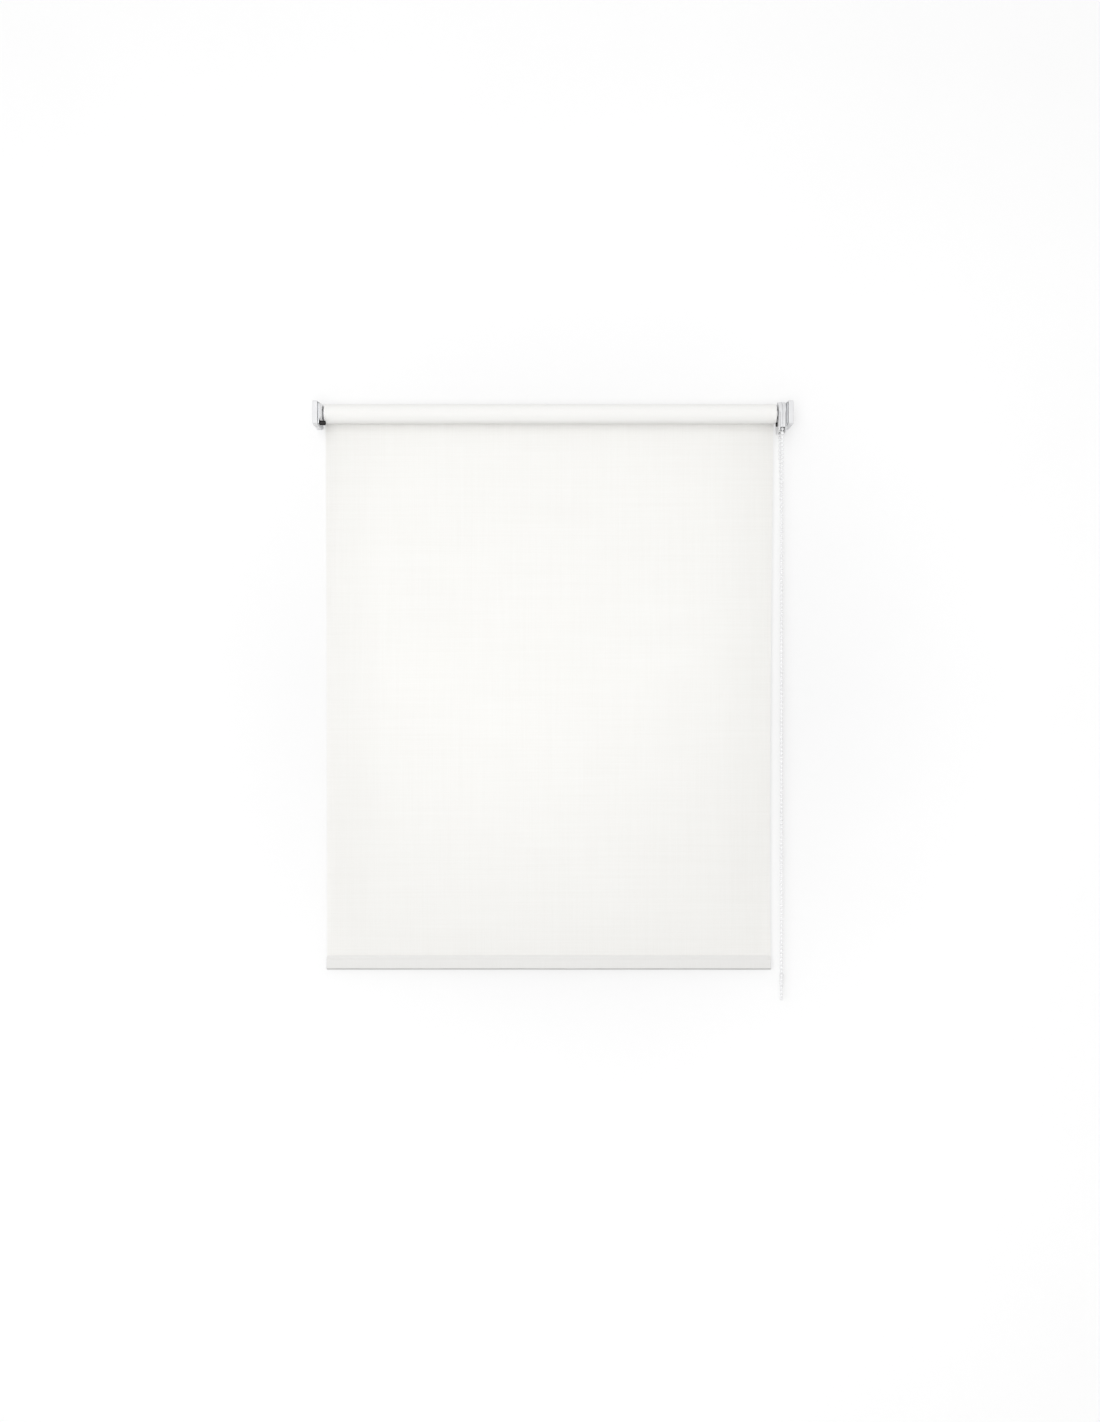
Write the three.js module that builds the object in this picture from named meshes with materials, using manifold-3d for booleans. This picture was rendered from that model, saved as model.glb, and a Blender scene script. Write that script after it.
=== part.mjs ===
// Roller blind worked by a bead chain, fully lowered.
// Millimetres, +X to the right, +Y towards the wall, +Z up. The origin is on the wall plane, midway
// between the brackets, at the height of the roller's axis.

import * as THREE from 'three';
import { mergeVertices } from 'three/addons/utils/BufferGeometryUtils.js';
import Module from 'manifold-3d';

const wasm = await Module();
wasm.setup();

// ---- Driving dimensions ----

const GAP = 0.3; // between pieces that touch on the real blind
const WIDTH = 700; // over the outer faces of the two bracket covers
const AXIS_Y = -26; // roller axis, in front of the wall
const DROP = 818; // roller axis to the bottom of the hem

const COVER = { thickness: 7.7, front: -49, back: -0.5, bottom: -19, top: 15.7, wall: 1.6, corner: 3 };
const PLATE = { thickness: 1.5, front: -46, bottom: -18.4, top: 14, corner: 3, bend: 2.5 };
const FLANGE = { length: 28.5, bottom: -8.6, top: 13.4 };
const WALL_SLOT = { length: 12, width: 6, heights: [7.4, -3.6], fromPlate: 14.5 };
const PLATE_INNER = WIDTH / 2 - COVER.thickness - GAP - PLATE.thickness;
const PLATE_OUTER = PLATE_INNER + PLATE.thickness;

const ROLL = { left: -334, right: 326.5, outer: 14.1, inner: 12.8 };
const TUBE = { outer: 12.5, wall: 1, endInset: 0.4, grooveHalf: 1.6, grooveFloor: 10.3 };
const PLUG = { radius: 11.2, keyHalf: 2.8, keyFloor: 9.1, flangeRadius: 12.3, flange: 1 };
const SPLINE = { half: 1.2, bottom: 10.6, top: 12.2 };

const FABRIC = 0.33; // thickness of the cloth
const PANEL = { left: -336, right: 326, back: AXIS_Y + ROLL.outer + GAP + FABRIC };
const HEM = { height: 20.5, half: 3.4, wall: 0.35, shoulder: 7, left: -333.8, right: 321.6 };
const BAR = { half: 2.7, height: 14, wall: 1, cap: 1.3, plug: 8 };

const SOCKET = { outer: 14.8, opening: 10.6, hub: 5.4, bore: 3.85, thickness: 2.9, spoke: 1.5 };
const SOCKET_BASE = { front: -45.4, back: -7, bottom: -11.9, top: 13.4, corner: 6, thickness: 1.1 };
const PIN = { radius: 3.5, collar: 5.2, tail: 1.5, tip: -341.6, end: -304 };
const SPRING_CHAMBER = { radius: 5.6, front: -330.5, back: -306 };

const BEAD = { radius: 2.25, pitch: 6, thread: 0.6 };
const WHEEL = { pockets: 12, radius: 13.2, left: 331.5, right: 338.3, neck: 4.9, bore: 3, square: 3.4 };
const WHEEL_PITCH_RADIUS = BEAD.pitch / 2 / Math.sin(Math.PI / WHEEL.pockets);
const CHAIN = { x: (WHEEL.left + WHEEL.right) / 2, bottom: -861, top: -11 };
const CHAIN_TWIST = { front: -1.2, back: 2.6, from: -30, to: -150 }; // sideways, as the loop hangs
const CONNECTOR = { radius: 3.1, bore: 2.55, length: 16, centre: -832 };

const GUARD = { radius: 17, wall: 1.5, inner: 329.6, hole: 8.5, rimBottom: -22 };
const GUARD_LIP = { bottom: -28.5, corner: 5 };
const POST = { radius: 2.6, end: 296, headRadius: 4.5, head: 1.3 };
const CORE = { radius: 5.85, bore: 3, left: 299, right: 319.5 };
const WRAP_SPRING = { radius: 6.6, wire: 0.45, turns: 5, pitch: 1.25, starts: [300.6, 310.6] };

const SCREW = { shank: 1.4, hole: 1.75, head: 3.3, end: 347.2, z: -15.6 };
const LEFT_SCREW = { y: -38, headHeight: 8.7 };
const RIGHT_SCREW = { y: AXIS_Y, headHeight: 2.3 };

// ---- Materials ----

function finish(color, roughness, metalness) {
  return new THREE.MeshStandardMaterial({ color, roughness, metalness });
}

const whitePlastic = () => finish(0xf2f2f2, 0.42, 0);
const zincSteel = () => finish(0xb4b6b9, 0.38, 0.9);
const blackSteel = () => finish(0x1d1d1f, 0.45, 0.7);
const springSteel = () => finish(0x8d9094, 0.3, 1);
const aluminium = () => finish(0xc3c5c7, 0.4, 1);
const ivoryCloth = () => finish(0xf6f5f0, 0.85, 0);
const pearlPlastic = () => finish(0xf4f5f7, 0.35, 0);

// ---- Solids ----

function toSolid(geometry) {
  const bare = geometry.clone();
  bare.deleteAttribute('normal');
  bare.deleteAttribute('uv');
  const merged = mergeVertices(bare, 1e-4);
  const corners = merged.index.array;
  const kept = [];
  for (let i = 0; i < corners.length; i += 3) {
    const [a, b, c] = corners.slice(i, i + 3);
    if (a !== b && b !== c && c !== a) kept.push(a, b, c);
  }
  return new wasm.Manifold(new wasm.Mesh({
    numProp: 3,
    vertProperties: merged.attributes.position.array,
    triVerts: new Uint32Array(kept),
  }));
}

function toGeometry(solid) {
  const { vertProperties, triVerts } = solid.getMesh();
  const geometry = new THREE.BufferGeometry();
  geometry.setAttribute('position', new THREE.BufferAttribute(vertProperties, 3));
  geometry.setIndex(new THREE.BufferAttribute(triVerts, 1));
  return geometry;
}

// Joins the first list of geometries and cuts the second list away.
function joined(parts, cuts = []) {
  let solid = toSolid(parts[0]);
  for (const part of parts.slice(1)) solid = solid.add(toSolid(part));
  for (const cut of cuts) solid = solid.subtract(toSolid(cut));
  return toGeometry(solid);
}

// How three.js spells "this many flat pieces in each arc of a shape".
const arcs = (pieces) => ({ bevelEnabled: false, curveSegments: Math.ceil(pieces / 2) });

// A prism along X, from a shape drawn as (y, z).
const YZ_SHAPE_ALONG_X = new THREE.Matrix4().set(0, 0, 1, 0, 1, 0, 0, 0, 0, 1, 0, 0, 0, 0, 0, 1);
function prismX(shape, x0, x1, arcPieces) {
  const left = Math.min(x0, x1);
  const settings = { depth: Math.abs(x1 - x0), ...arcs(arcPieces) };
  return new THREE.ExtrudeGeometry(shape, settings).applyMatrix4(YZ_SHAPE_ALONG_X).translate(left, 0, 0);
}

// A slab along Y, from a shape drawn as (x, z), from y = back towards the room.
const XZ_SHAPE_ALONG_Y = new THREE.Matrix4().set(1, 0, 0, 0, 0, 0, -1, 0, 0, 1, 0, 0, 0, 0, 0, 1);
function slabY(shape, back, depth, arcPieces) {
  const settings = { depth, ...arcs(arcPieces) };
  return new THREE.ExtrudeGeometry(shape, settings).applyMatrix4(XZ_SHAPE_ALONG_Y).translate(0, back, 0);
}

// A turned piece along X, from a closed profile of [x, radius] that runs anticlockwise.
const LATHE_ALONG_X = new THREE.Matrix4().set(0, 1, 0, 0, 0, 0, 1, 0, 1, 0, 0, 0, 0, 0, 0, 1);
function turnedX(profile, segments = 32) {
  const points = profile.map(([x, radius]) => new THREE.Vector2(radius, x));
  return new THREE.LatheGeometry(points, segments).applyMatrix4(LATHE_ALONG_X);
}

const rodX = (radius, x0, x1, segments) => turnedX([[x0, 0], [x0, radius], [x1, radius], [x1, 0]], segments);

// The same rod, from ends in either order.
const rodBetween = (radius, a, b, segments) => rodX(radius, Math.min(a, b), Math.max(a, b), segments);

function ringX(inner, outer, x0, x1, segments) {
  return turnedX([[x0, inner], [x0, outer], [x1, outer], [x1, inner], [x0, inner]], segments);
}

// ---- Outlines ----

function roundedRectangle(left, bottom, right, top, corner) {
  const shape = new THREE.Shape();
  shape.absarc(right - corner, bottom + corner, corner, -Math.PI / 2, 0);
  shape.absarc(right - corner, top - corner, corner, 0, Math.PI / 2);
  shape.absarc(left + corner, top - corner, corner, Math.PI / 2, Math.PI);
  shape.absarc(left + corner, bottom + corner, corner, Math.PI, 1.5 * Math.PI);
  shape.closePath();
  return shape;
}

// A circle with a square groove cut into its top.
function groovedCircle(radius, half, floor) {
  const shape = new THREE.Shape();
  const edge = Math.asin(half / radius);
  shape.absarc(0, 0, radius, Math.PI / 2 + edge, 2.5 * Math.PI - edge);
  shape.lineTo(half, floor);
  shape.lineTo(-half, floor);
  shape.closePath();
  return shape;
}

// The chain guard seen along the axis: a round top and straight sides.
function guardOutline(radius, bottom, corner) {
  const shape = new THREE.Shape();
  shape.absarc(radius - corner, bottom + corner, corner, -Math.PI / 2, 0);
  shape.absarc(0, 0, radius, 0, Math.PI);
  shape.absarc(corner - radius, bottom + corner, corner, Math.PI, 1.5 * Math.PI);
  shape.closePath();
  return shape;
}

// The hem pocket seen end on: two layers that part below the seam and go round the bar.
function hemOutline(half, neck, top, bottom) {
  const shape = new THREE.Shape();
  const shoulder = top - HEM.shoulder;
  shape.moveTo(neck, top);
  shape.lineTo(-neck, top);
  shape.bezierCurveTo(-neck, top - 2, -half, top - 3.5, -half, shoulder);
  shape.absarc(0, bottom + half, half, Math.PI, 2 * Math.PI);
  shape.lineTo(half, shoulder);
  shape.bezierCurveTo(half, top - 3.5, neck, top - 2, neck, top);
  return shape;
}

// ---- Brackets and covers, one at each end ----

// An L of sheet steel: a side plate that carries the roller and a flange that lies on the wall.
function bracket(side, axisHole, screwY) {
  const inner = side * PLATE_INNER;
  const outer = side * PLATE_OUTER;
  const flangeEnd = side * (PLATE_INNER - FLANGE.length);
  const bendCentre = side * (PLATE_OUTER - PLATE.bend);
  const outwards = side > 0 ? 0 : Math.PI;
  const insideBend = PLATE.bend - PLATE.thickness;
  const profile = new THREE.Shape();
  profile.moveTo(outer, PLATE.front);
  profile.lineTo(inner, PLATE.front);
  profile.lineTo(inner, -PLATE.bend);
  profile.absarc(bendCentre, -PLATE.bend, insideBend, outwards, Math.PI / 2, side < 0);
  profile.lineTo(flangeEnd, -PLATE.thickness);
  profile.lineTo(flangeEnd, 0);
  profile.absarc(bendCentre, -PLATE.bend, PLATE.bend, Math.PI / 2, outwards, side > 0);
  profile.closePath();
  const height = PLATE.top - PLATE.bottom;
  const folded = new THREE.ExtrudeGeometry(profile, { depth: height, ...arcs(4) });
  folded.translate(0, 0, PLATE.bottom);

  const plateEdge = roundedRectangle(PLATE.front, PLATE.bottom, -PLATE.bend, PLATE.top, PLATE.corner);
  const plateZone = prismX(plateEdge, side * (PLATE_INNER - 0.5), side * (PLATE_OUTER + 0.5), 4);
  const ends = [flangeEnd, side * (PLATE_OUTER + 3)].sort((a, b) => a - b);
  const flangeEdge = roundedRectangle(ends[0], FLANGE.bottom, ends[1], FLANGE.top, 2.5);
  const flangeZone = slabY(flangeEdge, 0.5, PLATE.bend + 3, 4);
  const zone = toSolid(plateZone).add(toSolid(flangeZone));

  let steel = toSolid(folded).intersect(zone);
  const holes = [
    rodX(axisHole, inner - 2, inner + 2, 20).translate(0, AXIS_Y, 0),
    rodX(SCREW.hole, inner - 2, inner + 2, 12).translate(0, screwY, SCREW.z),
    ...WALL_SLOT.heights.map((z) => wallSlot(side, z)),
  ];
  for (const hole of holes) steel = steel.subtract(toSolid(hole));
  return toGeometry(steel);
}

function wallSlot(side, z) {
  const x = side * (PLATE_INNER - WALL_SLOT.fromPlate);
  const halfLength = WALL_SLOT.length / 2;
  const halfWidth = WALL_SLOT.width / 2;
  const edge = roundedRectangle(
    x - halfLength, z - halfWidth, x + halfLength, z + halfWidth, halfWidth - 0.01);
  return slabY(edge, 1, PLATE.thickness + 2, 4);
}

// A moulded cap that hides the side plate, hollow towards it, with a boss for its screw.
function bracketCover(side, screwY) {
  const open = PLATE_OUTER + GAP;
  const edge = roundedRectangle(COVER.front, COVER.bottom, COVER.back, COVER.top, COVER.corner);
  const bevel = 1.2;
  const body = new THREE.ExtrudeGeometry(edge, {
    ...arcs(4),
    bevelEnabled: true,
    depth: COVER.thickness,
    bevelThickness: bevel,
    bevelSize: bevel,
    bevelOffset: -bevel,
    bevelSegments: 2,
  });
  body.applyMatrix4(YZ_SHAPE_ALONG_X);
  body.translate(side > 0 ? WIDTH / 2 - bevel - COVER.thickness : bevel - WIDTH / 2, 0, 0);
  const wall = COVER.wall;
  const hollow = roundedRectangle(
    COVER.front + wall, COVER.bottom + wall, COVER.back - wall, COVER.top - wall, COVER.corner - 1);
  const boss = rodBetween(3.2, side * open, side * (WIDTH / 2 - wall + 0.5), 14);
  const bore = rodBetween(SCREW.hole, side * (open - 1), side * (SCREW.end + 0.4), 12);
  boss.translate(0, screwY, SCREW.z);
  bore.translate(0, screwY, SCREW.z);
  const shell = joined([body], [
    prismX(roundedRectangle(-60, -30, 10, 30, 1), side * (open - 6), side * open, 2),
    prismX(hollow, side * (open - 1), side * (WIDTH / 2 - wall), 4),
  ]);
  return joined([shell, boss], [bore]);
}

// A black screw whose thread ends in the cover's boss, with a cross recess in its head.
function coverScrew(side, headStart, headHeight) {
  const away = (x) => side * x;
  const top = headStart - headHeight;
  const profile = [
    [away(top), 0],
    [away(top), SCREW.head * 0.72],
    [away(top + headHeight * 0.3), SCREW.head],
    [away(headStart), SCREW.head],
    [away(headStart), SCREW.shank],
    [away(SCREW.end - 1), SCREW.shank],
    [away(SCREW.end), 0.4],
    [away(SCREW.end), 0],
  ];
  const turned = turnedX(side > 0 ? profile : profile.reverse(), 16);
  const depth = 1.3;
  const slot = { length: 3.2, width: 0.7 };
  const recess = [[slot.width, slot.length], [slot.length, slot.width]].map(([alongY, alongZ]) => (
    new THREE.BoxGeometry(2 * depth, alongY, alongZ).translate(away(top), 0, 0)));
  return joined([turned], recess);
}

// ---- Idle end, on the left ----

// A base plate that lies on the bracket, a raised rim and a hub on three spokes.
function idleSocket() {
  const left = -(PLATE_INNER - GAP);
  const right = left + SOCKET.thickness;
  const spokes = [0, 1, 2].map((i) => {
    const reach = SOCKET.opening - SOCKET.hub + 1;
    const spoke = new THREE.BoxGeometry(SOCKET.spoke, 2.4, reach);
    spoke.translate(left + SOCKET.spoke / 2, 0, (SOCKET.opening + SOCKET.hub) / 2);
    return spoke.rotateX(Math.PI / 2 + (i * 2 * Math.PI) / 3);
  });
  const rim = turnedX([
    [left, SOCKET.opening],
    [left, SOCKET.outer],
    [right - 1, SOCKET.outer],
    [right, SOCKET.outer - 1],
    [right, SOCKET.opening],
    [left, SOCKET.opening],
  ], 32);
  const { front, back, bottom, top, corner, thickness } = SOCKET_BASE;
  const edge = roundedRectangle(front - AXIS_Y, bottom, back - AXIS_Y, top, corner);
  const window = rodX(SOCKET.opening, left - 1, right, 32);
  const base = joined([prismX(edge, left, left + thickness, 5)], [window]);
  return joined([rim, base, ringX(SOCKET.bore, SOCKET.hub, left, right, 20), ...spokes]);
}

function idlePlug() {
  const face = ROLL.left - 0.9;
  const outline = groovedCircle(PLUG.radius, PLUG.keyHalf, PLUG.keyFloor);
  return joined(
    [prismX(outline, face + PLUG.flange / 2, SPRING_CHAMBER.back, 22),
      rodX(PLUG.flangeRadius, face, face + PLUG.flange, 32)],
    [rodX(PIN.radius + 0.4, face - 1, SPRING_CHAMBER.back + 1, 20),
      rodX(SPRING_CHAMBER.radius, SPRING_CHAMBER.front, SPRING_CHAMBER.back + 1, 20)],
  );
}

// The cap leaves a hole for the pin's tail.
function idlePlugCap() {
  const { radius, back } = SPRING_CHAMBER;
  return ringX(PIN.tail + 0.4, radius - GAP, back - 2.4, back, 18);
}

function idlePin() {
  const collar = SPRING_CHAMBER.front + GAP;
  return turnedX([
    [PIN.tip, 0],
    [PIN.tip, PIN.radius - 0.9],
    [PIN.tip + 0.9, PIN.radius],
    [collar, PIN.radius],
    [collar, PIN.collar],
    [collar + 1.6, PIN.collar],
    [collar + 1.6, PIN.tail],
    [PIN.end, PIN.tail],
    [PIN.end, 0],
  ], 20);
}

// ---- Springs ----

class Helix extends THREE.Curve {
  constructor(radius, turns, x0, x1) {
    super();
    Object.assign(this, { radius, turns, x0, x1 });
  }

  getPoint(t, target = new THREE.Vector3()) {
    const angle = t * this.turns * 2 * Math.PI;
    const x = this.x0 + t * (this.x1 - this.x0);
    return target.set(x, this.radius * Math.cos(angle), this.radius * Math.sin(angle));
  }
}

function wireAlong(curve, radius, sides, steps) {
  const section = new THREE.Shape();
  section.absarc(0, 0, radius, 0, 2 * Math.PI);
  const settings = { steps, extrudePath: curve, ...arcs(sides) };
  return new THREE.ExtrudeGeometry(section, settings);
}

function idleSpring() {
  const left = SPRING_CHAMBER.front + 2 * GAP + 1.6 + 0.45;
  const right = SPRING_CHAMBER.back - 2.4 - GAP - 0.45;
  return wireAlong(new Helix(3.4, 5, left, right), 0.45, 4, 40);
}

function wrapSpring(start) {
  const { radius, turns, pitch, wire } = WRAP_SPRING;
  return wireAlong(new Helix(radius, turns, start, start + turns * pitch), wire, 4, 50);
}

// ---- Roller ----

function rollerTube() {
  const outline = groovedCircle(TUBE.outer, TUBE.grooveHalf, TUBE.grooveFloor);
  const wall = TUBE.wall;
  const bore = groovedCircle(TUBE.outer - wall, TUBE.grooveHalf + wall, TUBE.grooveFloor - wall);
  outline.holes.push(bore);
  return prismX(outline, ROLL.left + TUBE.endInset, ROLL.right - TUBE.endInset, 32);
}

function fabricSpline() {
  const strip = roundedRectangle(-SPLINE.half, SPLINE.bottom, SPLINE.half, SPLINE.top, 0.5);
  return prismX(strip, ROLL.left + 1, ROLL.right - 1, 2);
}

// ---- Chain drive, on the right ----

function chainWheel() {
  const { left, right, radius, neck, bore, square } = WHEEL;
  const neckEnd = ROLL.right + 1.2;
  const squareEnd = ROLL.right - 5.6;
  const key = prismX(roundedRectangle(-square, -square, square, square, 0.6), squareEnd, neckEnd + 0.5, 2);
  const disc = turnedX([
    [left, 0],
    [left, radius - 0.8],
    [left + 0.8, radius],
    [right - 0.8, radius],
    [right, radius - 0.8],
    [right, 0],
  ], 36);
  const threadGroove = ringX(WHEEL_PITCH_RADIUS - 1, radius + 1, CHAIN.x - 1, CHAIN.x + 1, 36);
  const pockets = Array.from({ length: WHEEL.pockets }, (_, i) => {
    const pocket = new THREE.SphereGeometry(BEAD.radius + 0.4, 8, 6);
    return pocket.translate(CHAIN.x, WHEEL_PITCH_RADIUS, 0).rotateX((i * 2 * Math.PI) / WHEEL.pockets);
  });
  const cuts = [rodX(bore, squareEnd - 1, right + 1, 18), threadGroove, ...pockets];
  return joined([disc, rodX(neck, neckEnd, left + 1, 20), key], cuts);
}

// The beads that lie in the wheel's upper pockets, on their thread.
function wheelBeads() {
  const [inner, outer] = [-BEAD.thread, BEAD.thread].map((side) => WHEEL_PITCH_RADIUS + side);
  const thread = ringX(inner, outer, CHAIN.x - BEAD.thread, CHAIN.x + BEAD.thread, 24);
  const lowerHalf = new THREE.BoxGeometry(4, 40, 20).translate(CHAIN.x, 0, -10);
  const beads = Array.from({ length: WHEEL.pockets / 2 + 1 }, (_, i) => {
    const bead = new THREE.SphereGeometry(BEAD.radius, 8, 6);
    return bead.translate(CHAIN.x, WHEEL_PITCH_RADIUS, 0).rotateX((i * 2 * Math.PI) / WHEEL.pockets);
  });
  return joined([joined([thread], [lowerHalf]), ...beads]);
}

function drivePlug() {
  const face = ROLL.right + 0.9;
  const left = CORE.left + 1;
  const endWall = ROLL.right - 6;
  const hole = WHEEL.square + 0.35;
  const outline = groovedCircle(PLUG.radius, PLUG.keyHalf, PLUG.keyFloor);
  return joined(
    [prismX(outline, left, face - PLUG.flange / 2, 22),
      rodX(PLUG.flangeRadius, face - PLUG.flange, face, 32)],
    [rodX(WRAP_SPRING.radius + 1.2, left - 1, endWall, 24),
      prismX(roundedRectangle(-hole, -hole, hole, hole, 0.6), endWall - 1, face + 1, 2)],
  );
}

function clutchPost() {
  const head = PLATE_OUTER + GAP;
  return turnedX([
    [POST.end, 0],
    [POST.end, POST.radius - 0.4],
    [POST.end + 0.4, POST.radius],
    [head, POST.radius],
    [head, POST.headRadius],
    [head + POST.head - 0.4, POST.headRadius],
    [head + POST.head, POST.headRadius - 0.8],
    [head + POST.head, 0],
  ], 18);
}

// Half of the guard: one side wall and the half of the rim that stands on it.
function guardHalf(wallFrom, wallTo, rimTo, axisHole) {
  const side = guardOutline(GUARD.radius, GUARD_LIP.bottom, GUARD_LIP.corner);
  const rim = guardOutline(GUARD.radius, GUARD.rimBottom, 1);
  const cavity = guardOutline(GUARD.radius - GUARD.wall, GUARD.rimBottom - 5, 1);
  const hollow = prismX(cavity, wallTo, rimTo + Math.sign(rimTo - wallTo), 18);
  const holes = [
    rodBetween(axisHole, 2 * wallFrom - wallTo, 2 * wallTo - wallFrom, 24),
    rodBetween(SCREW.hole, 2 * wallFrom - wallTo, 2 * wallTo - wallFrom, 12).translate(0, 0, SCREW.z),
  ];
  const band = joined([prismX(rim, wallFrom, rimTo, 18)], [hollow]);
  return joined([prismX(side, wallFrom, wallTo, 18), band], holes);
}

// ---- Bead chain ----

// How far the loop has turned aside at a height: its front run one way, its back run the other.
function chainTwist(y, z) {
  const { front, back, from, to } = CHAIN_TWIST;
  const middle = (front + back) / 2;
  const side = (y / WHEEL_PITCH_RADIUS) * (back - front) / 2;
  return (middle + side) * THREE.MathUtils.smoothstep(from - z, 0, from - to);
}

// The free part of the loop: down the front, round the bottom and up the back. Its parameter gives
// each straight run and the bend their own share of the steps.
class ChainRoute extends THREE.Curve {
  constructor(runSteps, bendSteps) {
    super();
    this.run = runSteps / (2 * runSteps + bendSteps);
    this.bendCentre = CHAIN.bottom + BEAD.radius + WHEEL_PITCH_RADIUS;
  }

  getPoint(t, target = new THREE.Vector3()) {
    const radius = WHEEL_PITCH_RADIUS;
    const drop = CHAIN.top - this.bendCentre;
    let y = t <= this.run ? -radius : radius;
    let z = CHAIN.top - (drop * Math.min(t, 1 - t)) / this.run;
    if (t > this.run && t < 1 - this.run) {
      const angle = Math.PI + (Math.PI * (t - this.run)) / (1 - 2 * this.run);
      y = radius * Math.cos(angle);
      z = this.bendCentre + radius * Math.sin(angle);
    }
    return target.set(CHAIN.x + chainTwist(y, z), y, z);
  }

  getPointAt(u, target) {
    return this.getPoint(u, target);
  }

  getTangentAt(u, target = new THREE.Vector3()) {
    if (u <= this.run) return target.set(0, 0, -1);
    if (u >= 1 - this.run) return target.set(0, 0, 1);
    const angle = Math.PI + (Math.PI * (u - this.run)) / (1 - 2 * this.run);
    return target.set(0, -Math.sin(angle), Math.cos(angle));
  }
}

function beadChain() {
  const runSteps = 34;
  const bendSteps = 12;
  return wireAlong(new ChainRoute(runSteps, bendSteps), BEAD.radius, 8, 2 * runSteps + bendSteps);
}

function chainConnector() {
  const { radius, bore, length } = CONNECTOR;
  const sleeve = turnedX([
    [-length / 2, bore],
    [-length / 2, radius - 0.3],
    [0.6 - length / 2, radius],
    [length / 2 - 0.6, radius],
    [length / 2, radius - 0.3],
    [length / 2, bore],
    [-length / 2, bore],
  ], 14);
  return sleeve.rotateY(Math.PI / 2);
}

// ---- Fabric and bottom bar ----

const HEM_TOP = -DROP + HEM.height;

function fabricPanel() {
  const panel = new THREE.BoxGeometry(PANEL.right - PANEL.left, FABRIC, -HEM_TOP - GAP);
  return panel.translate((PANEL.left + PANEL.right) / 2, PANEL.back - FABRIC / 2, (HEM_TOP + GAP) / 2);
}

function hemPocket() {
  const outline = hemOutline(HEM.half, HEM.wall, HEM_TOP, -DROP);
  outline.holes.push(hemOutline(HEM.half - HEM.wall, 0.1, HEM_TOP - 2, -DROP + HEM.wall));
  return prismX(outline, HEM.left, HEM.right, 8);
}

const barOutline = (inset) => roundedRectangle(
  inset - BAR.half, inset, BAR.half - inset, BAR.height - inset, BAR.half - inset - 0.01);

function bottomBar() {
  const outline = barOutline(0);
  outline.holes.push(barOutline(BAR.wall));
  return prismX(outline, HEM.left, HEM.right, 4);
}

// A cap that plugs the open end of the bar and ends flush with the hem.
function barCap(side) {
  const face = side > 0 ? HEM.right + GAP : HEM.left - GAP;
  return joined([
    prismX(barOutline(0), face, face + side * BAR.cap, 4),
    prismX(barOutline(BAR.wall + GAP), face - side * BAR.plug, face + side * 0.5, 4),
  ]);
}

// ---- Assembly ----

const blind = new THREE.Group();

function place(parent, name, geometry, material, position = [0, 0, 0]) {
  const mesh = new THREE.Mesh(geometry, material);
  mesh.name = name;
  mesh.position.set(...position);
  parent.add(mesh);
}

const brackets = new THREE.Group();
place(brackets, 'left_bracket', bracket(-1, 4.3, LEFT_SCREW.y), zincSteel());
place(brackets, 'right_bracket', bracket(1, POST.radius + 0.4, RIGHT_SCREW.y), zincSteel());
place(brackets, 'left_bracket_cover', bracketCover(-1, LEFT_SCREW.y), whitePlastic());
place(brackets, 'right_bracket_cover', bracketCover(1, RIGHT_SCREW.y), whitePlastic());
const leftScrew = coverScrew(-1, PLATE_INNER - GAP, LEFT_SCREW.headHeight);
const rightScrew = coverScrew(1, GUARD.inner - GAP, RIGHT_SCREW.headHeight);
place(brackets, 'left_cover_screw', leftScrew, blackSteel(), [0, LEFT_SCREW.y, SCREW.z]);
place(brackets, 'right_cover_screw', rightScrew, blackSteel(), [0, RIGHT_SCREW.y, SCREW.z]);
blind.add(brackets);

const roller = new THREE.Group();
roller.position.y = AXIS_Y;
place(roller, 'idle_socket', idleSocket(), whitePlastic());
place(roller, 'idle_plug', idlePlug(), whitePlastic());
place(roller, 'idle_plug_cap', idlePlugCap(), whitePlastic());
place(roller, 'idle_pin', idlePin(), whitePlastic());
place(roller, 'idle_spring', idleSpring(), springSteel());
place(roller, 'roller_tube', rollerTube(), aluminium());
place(roller, 'fabric_spline', fabricSpline(), whitePlastic());
place(roller, 'wound_fabric', ringX(ROLL.inner, ROLL.outer, ROLL.left, ROLL.right, 36), ivoryCloth());
place(roller, 'drive_plug', drivePlug(), whitePlastic());
place(roller, 'clutch_post', clutchPost(), zincSteel());
place(roller, 'clutch_core', ringX(CORE.bore, CORE.radius, CORE.left, CORE.right, 20), zincSteel());
place(roller, 'post_clip', ringX(POST.radius + GAP, 5, CORE.left - 1.3, CORE.left - GAP, 14), springSteel());
WRAP_SPRING.starts.forEach((start, i) => {
  place(roller, `wrap_spring_${i + 1}`, wrapSpring(start), springSteel());
});
place(roller, 'chain_wheel', chainWheel(), whitePlastic());
place(roller, 'wheel_beads', wheelBeads(), pearlPlastic());
const guardOuterFace = PLATE_INNER - GAP;
const guardSplit = CHAIN.x;
const innerHalf = guardHalf(
  GUARD.inner, GUARD.inner + GUARD.wall, guardSplit - GAP / 2, GUARD.hole);
const outerHalf = guardHalf(
  guardOuterFace, guardOuterFace - GUARD.wall, guardSplit + GAP / 2, POST.radius + 0.4);
place(roller, 'chain_guard_inner', innerHalf, whitePlastic());
place(roller, 'chain_guard_outer', outerHalf, whitePlastic());
place(roller, 'bead_chain', beadChain(), pearlPlastic());
const connectorX = CHAIN.x + chainTwist(WHEEL_PITCH_RADIUS, CONNECTOR.centre);
const connectorCentre = [connectorX, WHEEL_PITCH_RADIUS, CONNECTOR.centre];
place(roller, 'chain_connector', chainConnector(), pearlPlastic(), connectorCentre);
blind.add(roller);

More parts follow.
